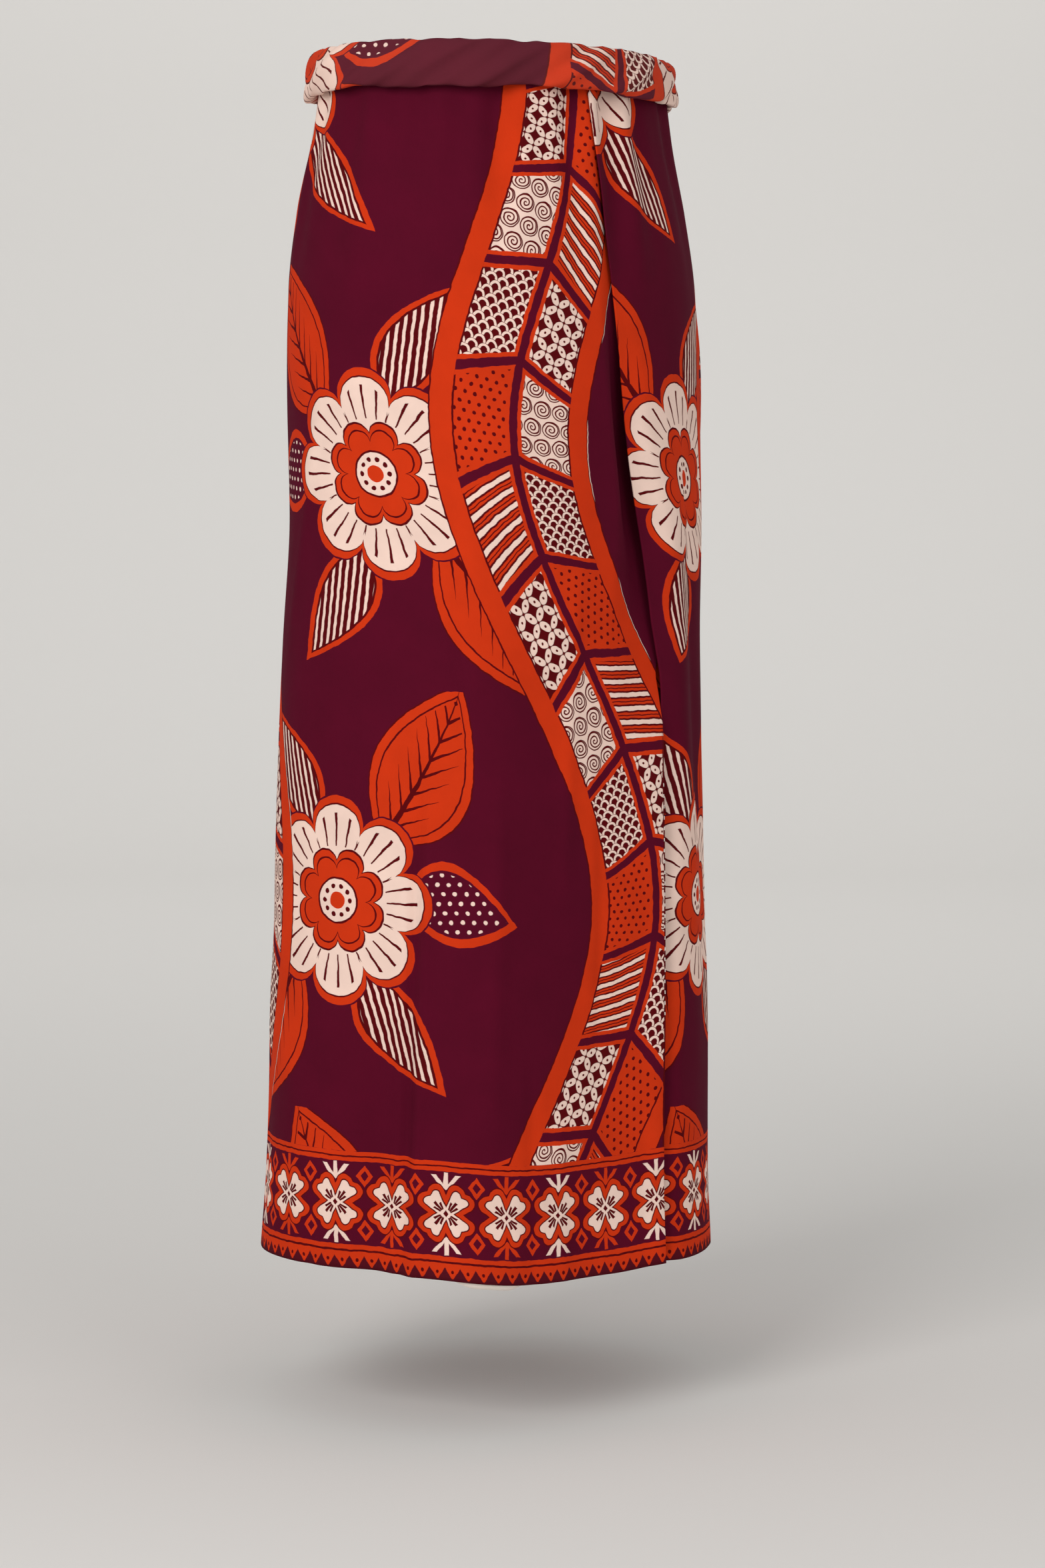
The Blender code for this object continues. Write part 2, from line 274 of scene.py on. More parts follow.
def gathers(turn, height):
    """Small upright ripples under the waist, where the cloth is drawn in."""
    drawn_in = ease((height - GATHER_FOOT) / GATHER_SPAN)
    near_fold = 0.7 + 1.1 * np.exp(-((turned(turn + 16.0) / 30.0) ** 2))
    angle = np.radians(turn + (WORN_LENGTH - height) * 0.012)
    ripple = np.sin(17.0 * angle + 2.0 * np.sin(3.0 * angle))
    ripple = ripple + 0.6 * np.sin(29.0 * angle + 1.0)
    return GATHER_DEPTH * drawn_in * near_fold * ripple


def unevenness(x, y, z):
    """Soft waves of about a millimetre, the same on every layer."""
    place = Vector((x * 0.011, y * 0.011, z * 0.0045))
    slow = noise.noise(place)
    quick = noise.noise(place * 2.9 + Vector((7.0, 3.0, 1.0)))
    return SLOW_WAVE * slow + QUICK_WAVE * quick


def seam_ridge(turn):
    """The felled seam down the back stands out a little, over a finger's width."""
    across = abs(turned(turn - BACK_SEAM_TURN)) * SEAM_MM_PER_DEGREE
    return SEAM_RISE * ease((SEAM_WIDTH / 2.0 - across) / 1.6 + 0.5)


class Section:
    """The outer face of the cloth round the body at one height, walked from the crease."""

    def __init__(self, height):
        self.height = height
        self.girth = row_of(GIRTHS, "height", height)
        self.pleat = row_of(PLEATS, "height", height)
        self.turns = self.pleat.turn + np.linspace(-360.0, 360.0, 2 * WALK_STEPS + 1)
        x, y = self.place(self.turns, 0.0)
        steps = np.hypot(np.diff(x), np.diff(y))
        walk = np.concatenate([[0.0], np.cumsum(steps)])
        self.walk = walk - walk[WALK_STEPS]
        self.to_right_seam = -float(np.interp(BACK_SEAM_TURN - 360.0, self.turns, self.walk))
        self.to_left_seam = float(np.interp(BACK_SEAM_TURN, self.turns, self.walk))

    def place(self, turn, inset):
        angle = np.radians(turn)
        across, ahead = np.sin(angle), -np.cos(angle)
        depth = np.where(ahead < 0, self.girth.front, self.girth.back)
        normal_x, normal_y = across / self.girth.half_width, ahead / depth
        out = (swell(turn, self.height) - inset) / np.hypot(normal_x, normal_y)
        return (
            self.girth.half_width * across + self.girth.shift_x + normal_x * out,
            depth * ahead + self.girth.shift_y + normal_y * out,
        )

    def points(self, distance, inset, drop=0.0):
        """Points at distances round from the crease, in millimetres from the waist."""
        turn = np.interp(distance, self.walk, self.turns)
        x, y = self.place(turn, 0.0)
        waves = np.array([unevenness(px, py, self.height) for px, py in zip(x, y)])
        outward = creases(turn, self.height) + gathers(turn, self.height) + waves - WAVE_MIDDLE
        outward = outward + seam_ridge(turn)
        x, y = self.place(turn, inset - outward)
        fade = 1.0 - self.height / WORN_LENGTH
        rise = read_table(HEM_RISES, "turn", turned(turn)).rise * fade
        z = self.height + rise - drop - WORN_LENGTH
        return np.stack([x, y, z], axis=1)


def spread(start, end, count, crowding=1.0):
    """Numbers from start to end, closer together at the start."""
    share = np.linspace(0.0, 1.0, count)
    return start + (end - start) * share**crowding


def turned_under(distance_past):
    """A folded edge: how far short of the fold, and how deep, a place past it lies."""
    quarter = math.pi * FOLD_RADIUS
    angle = np.minimum(distance_past, quarter) / FOLD_RADIUS
    back = np.maximum(distance_past - quarter, 0.0)
    return FOLD_RADIUS - FOLD_RADIUS * np.sin(angle) + back, FOLD_RADIUS * (1.0 - np.cos(angle))


def rows_of_cloth(top, bottom, count):
    """Heights of a cloth's rows, with one on the border's upper edge."""
    heights = np.linspace(bottom, top, count)
    heights[np.abs(heights - BORDER).argmin()] = BORDER
    return heights


UNDER = np.array([7.0, 5.0, 3.6, 2.6, 2.0, 1.5, 1.0, 0.5])  # columns turned under, past the fold


def right_cloth(section):
    """Distances, insets and places on the flat cloth of the right panel's columns."""
    pleat = section.pleat
    end = pleat.right_end
    short, deep = turned_under(UNDER)
    hidden = np.linspace(end - FOLD_RADIUS, 0.0, 14)[:-1]
    near = -spread(0.0, NEAR, 34, 1.25)
    far = np.linspace(-NEAR, -(section.to_right_seam - SEAM_GAP / 2), 132)[1:]
    plain = np.concatenate([hidden, near, far])
    distance = np.concatenate([end - short, plain])
    dip = pleat.right_dip * ease((distance + pleat.right_reach) / pleat.right_reach)
    dip[: len(UNDER)] = pleat.right_dip
    inset = dip + np.concatenate([deep, np.zeros(len(plain))])
    flat = np.concatenate([end - FOLD_RADIUS + UNDER, plain])
    return distance, inset, flat


def left_cloth(section):
    """The same for the left panel, whose flat cloth goes on past what the fold hides."""
    pleat = section.pleat
    end = pleat.left_end
    short, deep = turned_under(UNDER)
    near = end + FOLD_RADIUS + spread(0.0, NEAR, 34, 1.25)
    far = np.linspace(near[-1], section.to_left_seam - SEAM_GAP / 2, 128)[1:]
    plain = np.concatenate([near, far])
    distance = np.concatenate([end + short, plain])
    dip = pleat.left_dip * (1.0 - ease(distance / pleat.left_reach))
    dip[: len(UNDER)] = dip[len(UNDER)]
    inset = dip + np.concatenate([deep, np.zeros(len(plain))])
    taken_in = FOLDED_AWAY + 1.7 * max(pleat.right_end - 4.0, 0.0)
    flat = np.concatenate([end + FOLD_RADIUS - UNDER, plain]) + taken_in
    return distance, inset, flat


def inner_cloth(section):
    """The same for the inner layer, which sinks behind the pleat."""
    pleat = section.pleat
    distance = np.concatenate([
        np.linspace(-INNER_LAP, -INNER_NEAR, 40)[:-1],
        np.linspace(-INNER_NEAR, pleat.inner_end, 34),
    ])
    span = pleat.inner_from - pleat.inner_to
    deeper = pleat.inner_dip - INNER_BEHIND
    inset = INNER_BEHIND + deeper * ease((distance + pleat.inner_from) / span)
    return distance, inset, distance + INNER_PLACE


def inner_drop(distance, height):
    """The inner layer peeps out under the hem for a hand's breadth, right of the front."""
    peep = ease((distance - PEEP_START) / 20.0) * ease((PEEP_END - distance) / 18.0)
    return (PEEP_DROP * peep - INNER_LIFT) * (1.0 - ease(height / 200.0))


def cloth_object(name, grid, flat, rows_in_border, materials):
    """A quad mesh from a grid of points, with the flat cloth's places as its UV map."""
    high, wide = grid.shape[:2]
    mesh = bpy.data.meshes.new(name)
    corner = np.arange(high * wide).reshape(high, wide)
    quads = np.stack(
        [corner[:-1, :-1], corner[:-1, 1:], corner[1:, 1:], corner[1:, :-1]], axis=-1
    ).reshape(-1, 4)
    points = grid.reshape(-1, 3) * MM
    mesh.from_pydata(points.tolist(), [], quads.tolist())
    layer = mesh.uv_layers.new(name="cloth")
    places = flat.reshape(-1, 2) * MM
    loops = np.empty(len(mesh.loops), dtype=np.int32)
    mesh.loops.foreach_get("vertex_index", loops)
    layer.data.foreach_set("uv", places[loops].astype(np.float32).ravel())
    slots = np.zeros(len(quads), dtype=np.int32)
    slots[: rows_in_border * (wide - 1)] = 1
    mesh.polygons.foreach_set("material_index", slots)
    mesh.shade_smooth()
    for material in materials:
        mesh.materials.append(material)
    piece = bpy.data.objects.new(name, mesh)
    bpy.context.scene.collection.objects.link(piece)
    face_out(piece)
    return piece


def face_out(piece):
    """Turns the faces so that most of them look away from the middle of the tube."""
    mesh = piece.data
    normals = np.empty(len(mesh.polygons) * 3, dtype=np.float32)
    centres = np.empty(len(mesh.polygons) * 3, dtype=np.float32)
    mesh.polygons.foreach_get("normal", normals)
    mesh.polygons.foreach_get("center", centres)
    outward = (normals.reshape(-1, 3)[:, :2] * centres.reshape(-1, 3)[:, :2]).sum()
    if outward < 0:
        mesh.flip_normals()


def add_wall(piece, thickness, back_offset):
    wall = piece.modifiers.new("wall", "SOLIDIFY")
    wall.thickness = thickness * MM
    wall.offset = -1.0
    wall.material_offset = back_offset
    wall.material_offset_rim = 0


def make_panel(name, columns_of, row_count, materials, drop_of=None):
    """A cloth from waist to hem, one section for each row."""
    heights = rows_of_cloth(WORN_LENGTH - WAIST_EDGE, 0.0, row_count)
    grid, flat = [], []
    for height in heights:
        section = Section(float(height))
        distance, inset, place = columns_of(section)
        drop = 0.0 if drop_of is None else drop_of(distance, height)
        grid.append(section.points(distance, inset, drop))
        flat.append(np.stack([place, np.full_like(place, height)], axis=1))
    in_border = int(np.searchsorted(heights, BORDER))
    piece = cloth_object(name, np.array(grid), np.array(flat), in_border, materials)
    add_wall(piece, CLOTH, 2)
    return piece


def roll_path():
    """The roll's section: over the panels' top, down outside, and curled in under itself."""
    path = [(-1.6, -7.0), (-1.8, -3.6), (-1.0, -1.6), (0.6, -0.5)]
    thick, deep = ROLL_THICKNESS, ROLL_DEPTH
    for angle in np.linspace(105, -105, 26):
        bend = math.radians(angle)
        side = math.copysign(abs(math.cos(bend)) ** 0.75, math.cos(bend))
        out = thick * 0.5 + thick * 0.5 * side
        path.append((min(out, thick), -deep * (0.5 - 0.5 * math.sin(bend))))
    path += [(1.4, -deep * 0.90), (0.9, -deep * 0.78), (1.0, -deep * 0.6), (2.2, -deep * 0.5)]
    return np.array(path)


def make_waist_roll(materials):
    """The roll's path taken round the waist, with wrinkles and lumps in its outer face."""
    path = roll_path()
    turn = np.linspace(-180.0, 180.0, ROLL_COLUMNS)
    lengths = np.concatenate([[0.0], np.cumsum(np.hypot(*np.diff(path, axis=0).T))])
    grid, flat = [], []
    rim = Section(WORN_LENGTH)
    around = np.interp(turn + rim.pleat.turn, rim.turns, rim.walk)
    for (out, down), length in zip(path, lengths):
        section = Section(min(WORN_LENGTH + down, WORN_LENGTH))
        outside = ease((out - 0.5) / 4.0)
        lean = 2.2 * np.sin(np.radians(turn * 2.0))
        twist = np.sin(np.radians(turn * 13.0) + length * 0.20 + lean)
        twist = twist + 0.6 * np.sin(np.radians(turn * 31.0) + length * 0.34)
        lumps = np.sin(np.radians(turn * 5.0 + 40.0)) + 0.6 * np.sin(np.radians(turn * 13.0))
        tuck = 2.4 * np.exp(-((turned(turn + 8.0) / 16.0) ** 2))
        fuller = outside * (1.5 * twist + 0.7 * lumps + tuck + 0.5)
        x, y = section.place(turn, -(out + fuller))
        sag = down * (1.0 + 0.035 * lumps) - 0.8 * np.abs(twist)
        z = np.minimum(sag, 0.0)
        grid.append(np.stack([x, y, z], axis=1))
        place = WORN_LENGTH - WAIST_EDGE + length
        flat.append(np.stack([around, np.full(ROLL_COLUMNS, place)], axis=1))
    piece = cloth_object("waist_fold", np.array(grid), np.array(flat), 0, materials)
    add_wall(piece, CLOTH, 0)
    return piece


BOX_FACES = (
    (0, 1, 3, 2), (4, 6, 7, 5), (0, 4, 5, 1), (2, 3, 7, 6), (1, 5, 7, 3), (0, 2, 6, 4),
)


def make_stitches(material):
    """Two rows of running stitches along the back seam's edges."""
    points, faces = [], []
    for height in np.arange(6.0, WORN_LENGTH - ROLL_DEPTH, STITCH_PITCH):
        ends = []
        for level in (height, height + STITCH_LENGTH):
            section = Section(float(level))
            rows = np.array([-SEAM_WIDTH * 0.36, SEAM_WIDTH * 0.36])
            ends.append(section.points(section.to_left_seam + rows, np.full(2, -0.06)))
        for low, high in zip(*ends):
            first = len(points)
            for end in (low, high):
                for side in (-0.5, 0.5):
                    for out in (0.0, STITCH_THICK):
                        point = end + np.array([side * STITCH_THICK, out, 0.0])
                        points.append(tuple(point * MM))
            faces += [tuple(first + corner for corner in face) for face in BOX_FACES]
    mesh = bpy.data.meshes.new("seam_stitches")
    mesh.from_pydata(points, [], faces)
    mesh.materials.append(material)
    piece = bpy.data.objects.new("seam_stitches", mesh)
    bpy.context.scene.collection.objects.link(piece)
    return piece


# Shader arithmetic: sockets that add, multiply and compare like numbers


class Value:
    """A number in a shader, either plain or from a node."""

    tree = None

    def __init__(self, source):
        self.source = source

    @staticmethod
    def node(operation, *inputs, clamp=False):
        made = Value.tree.nodes.new("ShaderNodeMath")
        made.operation = operation
        made.use_clamp = clamp
        for socket, given in zip(made.inputs, inputs):
            given = given.source if isinstance(given, Value) else given
            if isinstance(given, (int, float)):
                socket.default_value = float(given)
            else:
                Value.tree.links.new(given, socket)
        return Value(made.outputs[0])

    def __add__(self, other):
        return Value.node("ADD", self, other)

    def __sub__(self, other):
        return Value.node("SUBTRACT", self, other)

    def __rsub__(self, other):
        return Value.node("SUBTRACT", other, self)

    def __mul__(self, other):
        return Value.node("MULTIPLY", self, other)

    def __truediv__(self, other):
        return Value.node("DIVIDE", self, other)

    def __neg__(self):
        return Value.node("MULTIPLY", self, -1.0)

    def __mod__(self, period):
        return Value.node("FLOORED_MODULO", self, period)

    def __abs__(self):
        return Value.node("ABSOLUTE", self)


def least(first, *others):
    for other in others:
        first = Value.node("MINIMUM", first, other)
    return first


def most(first, *others):
    for other in others:
        first = Value.node("MAXIMUM", first, other)
    return first


def sine(value):
    return Value.node("SINE", value)


def cosine(value):
    return Value.node("COSINE", value)


def floor(value):
    return Value.node("FLOOR", value)


def sign(value):
    return Value.node("SIGN", value)


def root(value):
    return Value.node("SQRT", value)


def length_of(x, y):
    return root(Value.node("MULTIPLY_ADD", x, x, y * y))


def angle_of(y, x):
    return Value.node("ARCTAN2", y, x)


SOFT = 0.35  # a printed edge blurs over this many millimetres


def under(value, limit, soft=SOFT):
    """1 where the value is under the limit, 0 where it is over."""
    if isinstance(limit, Value):
        return Value.node("MULTIPLY_ADD", value - limit, -1.0 / soft, 0.5, clamp=True)
    return Value.node("MULTIPLY_ADD", value, -1.0 / soft, limit / soft + 0.5, clamp=True)


def over(value, limit, soft=SOFT):
    return Value.node("MULTIPLY_ADD", value, 1.0 / soft, 0.5 - limit / soft, clamp=True)


def between(value, low, high, soft=SOFT):
    """1 within a strip, from its middle and its half-width."""
    return under(abs(value - (low + high) / 2.0), (high - low) / 2.0, soft)


def both(first, *others):
    for other in others:
        first = first * other
    return first


def either(first, *others):
    return most(first, *others)


def centred(value, period):
    """A repeat's own coordinate, from minus to plus half a period."""
    return Value.node("FLOORED_MODULO", value + period / 2.0, period) - period / 2.0


def turn_about(x, y, degrees):
    """Coordinates along and across an axis at an angle."""
    cosine_of, sine_of = math.cos(math.radians(degrees)), math.sin(math.radians(degrees))
    return x * cosine_of + y * sine_of, y * cosine_of - x * sine_of


def paint(colour, over_colour, mask):
    """One colour laid over another, as far as the mask lets it."""
    made = Value.tree.nodes.new("ShaderNodeMix")
    made.data_type = "RGBA"
    for socket, given in ((made.inputs["Factor"], mask), (made.inputs[6], colour),
                          (made.inputs[7], over_colour)):
        given = given.source if isinstance(given, Value) else given
        if isinstance(given, (tuple, float)):
            socket.default_value = given
        else:
            Value.tree.links.new(given, socket)
    return made.outputs[2]


def linear(red, green, blue):
    """A colour as seen on a screen, as the light it stands for."""
    return tuple(((part / 255.0 + 0.055) / 1.055) ** 2.4 for part in (red, green, blue)) + (1.0,)


AUBERGINE = linear(84, 10, 34)
ORANGE = linear(201, 53, 18)
CREAM = linear(236, 206, 192)
MAROON = linear(86, 8, 14)
HEM_GROUND = linear(80, 16, 28)
UNDYED = linear(236, 224, 214)
WASHED = linear(176, 128, 122)  # what the cloth's back fades towards
PAPER = linear(224, 222, 219)

WARP_PITCH, WEFT_PITCH = 0.62, 0.68  # from thread to thread of the weave
BACK_PALE = 0.06  # how far the cloth's back fades


def print_noise(scale, detail, place):
    made = Value.tree.nodes.new("ShaderNodeTexNoise")
    made.noise_dimensions = "2D"
    made.inputs["Scale"].default_value = scale
    made.inputs["Detail"].default_value = detail
    made.inputs["Roughness"].default_value = 0.55
    Value.tree.links.new(place, made.inputs["Vector"])
    return made


def cloth_place():
    """The flat cloth's two coordinates in millimetres, a little unsteady, as a hand draws."""
    source = Value.tree.nodes.new("ShaderNodeUVMap")
    source.uv_map = "cloth"
    hand = print_noise(130.0, 1.5, source.outputs[0])
    parts = Value.tree.nodes.new("ShaderNodeSeparateXYZ")
    Value.tree.links.new(source.outputs[0], parts.inputs[0])
    wobble = Value.tree.nodes.new("ShaderNodeSeparateColor")
    Value.tree.links.new(hand.outputs["Color"], wobble.inputs[0])
    across = Value.node("MULTIPLY_ADD", Value(wobble.outputs[0]), 1.5, -0.75)
    along = Value.node("MULTIPLY_ADD", Value(wobble.outputs[1]), 1.5, -0.75)
    u = Value.node("MULTIPLY_ADD", Value(parts.outputs[0]), 1000.0, across)
    v = Value.node("MULTIPLY_ADD", Value(parts.outputs[1]), 1000.0, along)
    return source.outputs[0], u, v


# The border, a row of four-petalled flowers between lines, over a row of points

REPEAT = 46.2  # from flower to flower, mm
FIRST_FLOWER = -4.0  # the flower that the fold cuts, from the crease
FLOWER_MIDDLE = 50.0  # height of the flowers' middles
FIELD_FOOT = 18.2  # the top of the band over the points
PETAL_TURN = 50.0  # the petals' own lines rise this steeply
PETAL_LENGTH = 18.3
PETAL_ROUND = 3.8  # radius of a petal's corners
LOZENGE_RISE = 20.6  # of the lozenges' middles above or below the flowers'
SPRIG_RISE = 17.4  # of the sprigs' feet
LINES_MIDDLE = 85.2  # height of the lines above the flowers
SELVEDGE = 4.6  # the undyed edge is this tall


def four_petals(side, up):
    """How far outside the four notched petals a place is, and its place along one petal."""
    along, aside = turn_about(side, up, PETAL_TURN)
    aside = abs(aside + 0.9)
    notch = most(1.5 - aside * 0.45, 0.0)
    past_side = aside - along * 0.28 - (2.6 - PETAL_ROUND)
    past_end = along + notch - (PETAL_LENGTH - PETAL_ROUND)
    corner = length_of(most(past_side, 0.0), most(past_end, 0.0))
    return corner + least(most(past_side, past_end), 0.0) - PETAL_ROUND, along, aside


def border_colour(u, v):
    """The border's colour at each place on the flat cloth."""
    shifted = u - FIRST_FLOWER
    odd = floor(shifted / REPEAT + 0.5) % 2.0
    side = abs(centred(shifted, REPEAT))
    up = abs(v - FLOWER_MIDDLE)
    flower, along, aside = four_petals(side, up)
    thick = along * 0.06 + 0.25
    strokes = either(
        both(under(aside, thick + 0.25), between(along, 3.6, 11.6)),
        both(under(abs(aside - along * 0.33), thick + 0.2), between(along, 3.4, 9.0)),
    )
    # Hollow lozenges between the flowers, above and below
    lozenge = (REPEAT / 2.0 - side) * 1.5 + abs(up - LOZENGE_RISE) * 1.15
    # Three-pronged sprigs above and below each flower
    stem = up - SPRIG_RISE
    prongs = least(
        most(side - 1.6, stem - 13.4),
        most(abs(side - stem * 0.8) * 0.78 - 1.5, stem - 11.6),
    )
    sprig = under(most(prongs, side * 0.9 - stem), 0.0)
    colour = paint(AUBERGINE, ORANGE, between(lozenge, 4.6, 9.6))
    colour = paint(colour, ORANGE, sprig * odd)
    colour = paint(colour, CREAM, sprig * (1.0 - odd))
    colour = paint(colour, MAROON, under(flower, 5.1))
    colour = paint(colour, ORANGE, under(flower, 4.3))
    colour = paint(colour, MAROON, under(flower, 0.9))
    colour = paint(colour, CREAM, under(flower, 0.0))
    colour = paint(colour, MAROON, strokes)
    middle = side + up * 0.85
    colour = paint(colour, CREAM, under(middle, 3.4))
    colour = paint(colour, MAROON, under(middle, 2.0))
    # The lines above, and the lines and points below
    above = abs(v - LINES_MIDDLE)
    colour = paint(colour, ORANGE, under(above, 3.8))
    colour = paint(colour, MAROON, under(above, 0.6))
    lobe = abs(centred(u, REPEAT / 4.0))
    points = under(lobe, (v - 0.6) * 0.62, 0.5)
    colour = paint(colour, HEM_GROUND, under(v, FIELD_FOOT))
    colour = paint(colour, ORANGE, both(points, over(v, 1.5), under(v, 12.0)))
    colour = paint(colour, MAROON, under(length_of(lobe, (v - 6.6) * 0.8), 1.15))
    colour = paint(colour, ORANGE, between(v, 10.0, FIELD_FOOT))
    colour = paint(colour, MAROON, between(v, 13.0, 14.6))
    return colour


def selvedge_colour(u, v):
    """The border down to its undyed selvedge, which only the inner layer shows."""
    return paint(border_colour(u, v), UNDYED, under(v, SELVEDGE))


# The field, a generic design: winding ribbons of patchwork, with flowers and leaves between

PERIOD = 380.0  # from ribbon to ribbon
SWING = 52.0  # how far a ribbon winds to each side
RISE = 640.0  # height of one full winding
START = 118.0  # height where a winding starts
ACROSS_START = 132.0  # and its place round from the crease
RIBBON_EDGE, RIBBON_INSIDE = 61.0, 45.0  # half the width, with the orange edge and without
PATCH = 72.0  # from one patch of a ribbon to the next
FLOWER_SHIFT = 30.0  # how far a flower leans into its bend
FLOWER_REACH = 72.0  # from its middle to a petal's tip
PETALS, PETAL_LINES, SEEDS = 8.0, 32.0, 10.0  # how many go round a flower
SCALE, CURL, OVAL = 4.6, 15.0, 17.0  # the fillings' own repeats
DOT_ROW, DOT_PITCH = 6.0, 7.2  # the dots' own repeats, up and across
STRIPE = 10.4  # from stripe to stripe of a ribbon's filling
MARK_PITCH = 8.3  # of the pin marks along the crease


def scales(x, y):
    """Rows of fish scales, as cream arcs."""
    row = floor(y / SCALE)
    shifted = centred(x + (row % 2.0) * SCALE, SCALE * 2.0)
    arc = length_of(shifted, y - row * SCALE)
    return between(arc, 2.7, 4.4)


def curls(x, y):
    """Round curls in rows: 1 on the drawn line."""
    row = floor(y / CURL)
    across = centred(x + (row % 2.0) * (CURL / 2.0), CURL)
    up = y - row * CURL - CURL / 2.0
    reach = length_of(across, up)
    wound = reach / 2.7 - angle_of(up, across) * (1.0 / (2.0 * math.pi))
    line = under(abs(centred(wound, 1.0)), 0.2, 0.12)
    return either(both(line, under(reach, 6.6)), between(reach, 6.2, 7.1))


def ovals(x, y):
    """Four ovals round each crossing, the traditional palm-fruit pattern."""
    across, up = abs(centred(x, OVAL)), abs(centred(y, OVAL))
    along = (across + up) * 0.7071 - 6.0
    aside = (across - up) * 0.7071
    oval = length_of(along * 0.55, aside)
    return under(oval, 2.7), under(length_of(along, aside), 0.9)


def dots(x, y):
    """Rows of dots, each row set between the dots of the last."""
    row = floor(y / DOT_ROW)
    across = centred(x + (row % 2.0) * (DOT_PITCH / 2.0), DOT_PITCH)
    return under(length_of(across, y - row * DOT_ROW - DOT_ROW / 2.0), 1.35)


def leaf_shape(along, aside, length, width, bend):
    """How far outside a leaf's outline a place is, and how far off its midrib."""
    share = Value.node("DIVIDE", along, length, clamp=True)
    rib = abs(aside - along * along * bend)
    body = share * (1.0 - share)
    half = body * (5.2 * width) - body * share * (2.2 * width)
    return most(rib - half, -along, along - length), rib, share


def paint_leaf(colour, x, y):
    """A large veined leaf with a dark line inside its edge."""
    along, aside = turn_about(x, y, 51.0)
    along = along - 58.0
    outside, rib, share = leaf_shape(along, aside, 134.0, 40.0, 0.0014)
    colour = paint(colour, MAROON, under(outside, 1.2))
    colour = paint(colour, ORANGE, under(outside, 0.0))
    colour = paint(colour, MAROON, between(outside, -8.0, -6.6))
    vein = abs(centred(along - rib * 1.25, 15.0))
    veins = both(under(vein, 1.9 - rib * 0.085), under(outside, -10.0), under(rib, 21.0))
    stalk = both(under(rib, 2.7 - share * 2.6), under(outside, -3.0))
    return paint(colour, MAROON, either(veins, stalk))


def paint_bud(colour, x, y):
    """A dotted bud inside a thick orange rim."""
    along, aside = turn_about(x, y, 4.0)
    along = along - 54.0
    outside = leaf_shape(along, aside, 88.0, 30.0, -0.0028)[0]
    colour = paint(colour, ORANGE, under(outside, 0.0))
    colour = paint(colour, AUBERGINE, under(outside, -6.6))
    return paint(colour, CREAM, both(dots(along * 0.85, aside * 0.85), under(outside, -9.0)))


def paint_blade(colour, x, y):
    """A long blade with pale stripes."""
    along, aside = turn_about(x, y, 112.0)
    along = along - 52.0
    outside = leaf_shape(along, aside, 112.0, 26.0, 0.0024)[0]
    colour = paint(colour, ORANGE, under(outside, 0.0))
    colour = paint(colour, MAROON, under(outside, -5.0))
    stripe = abs(centred(aside + along * 0.12, 6.0))
    return paint(colour, CREAM, both(under(stripe, 1.2), under(outside, -7.0)))


def paint_flower(colour, x, y):
    """Eight round petals, eight smaller ones between them, and a heart of seeds."""
    reach = length_of(x, y)
    heading = angle_of(y, x) / (2.0 * math.pi)
    petal = abs(centred(heading * PETALS, 1.0)) * 2.0
    outer = reach - (root(1.0 - petal * petal * 0.94) * 26.0 + FLOWER_REACH - 26.0)
    colour = paint(colour, AUBERGINE, under(outer, 8.4))
    colour = paint(colour, ORANGE, under(outer, 7.0))
    colour = paint(colour, MAROON, under(outer, 1.2))
    colour = paint(colour, CREAM, under(outer, 0.0))
    line = abs(centred(heading * PETAL_LINES, 1.0)) * reach * (2.0 * math.pi / PETAL_LINES)
    lines = both(under(line, reach * 0.028 - 0.6), under(outer, -6.0), over(reach, 41.0))
    colour = paint(colour, MAROON, lines)
    petal = abs(centred(heading * PETALS + 0.5, 1.0)) * 2.0
    inner = reach - (root(1.0 - petal * petal * 0.9) * 14.0 + 25.0)
    colour = paint(colour, MAROON, under(inner, 1.6))
    colour = paint(colour, ORANGE, under(inner, 0.0))
    colour = paint(colour, MAROON, both(between(inner, -6.0, -4.6), over(reach, 17.0)))
    colour = paint(colour, MAROON, under(reach, 17.6))
    colour = paint(colour, CREAM, under(reach, 16.0))
    seed = centred(heading * SEEDS, 1.0) * (2.0 * math.pi * 1.06)
    colour = paint(colour, MAROON, under(length_of(seed, reach - 11.0), 1.8))
    return paint(colour, ORANGE, under(reach, 6.4))


def ribbon_filling(across, along, kind):
    """How much of each colour five traditional fillings put on a patch."""
    oval, seed = ovals(across, along)
    stripe = abs(centred(along + abs(across) * 0.5, STRIPE))
    kinds = (0.0, 1.0, 2.0, 3.0)
    first, second, third, fourth = (under(abs(kind - each), 0.5, 0.1) for each in kinds)
    cream = most(
        first * scales(across, along),
        second * (1.0 - curls(across, along)),
        third * oval * (1.0 - seed),
        fourth * under(stripe, 1.7),
    )
    orange = most(
        fourth * between(stripe, 3.1, 4.8),
        over(kind, 3.5, 0.1) * (1.0 - dots(across, along)),
    )
    return cream, orange


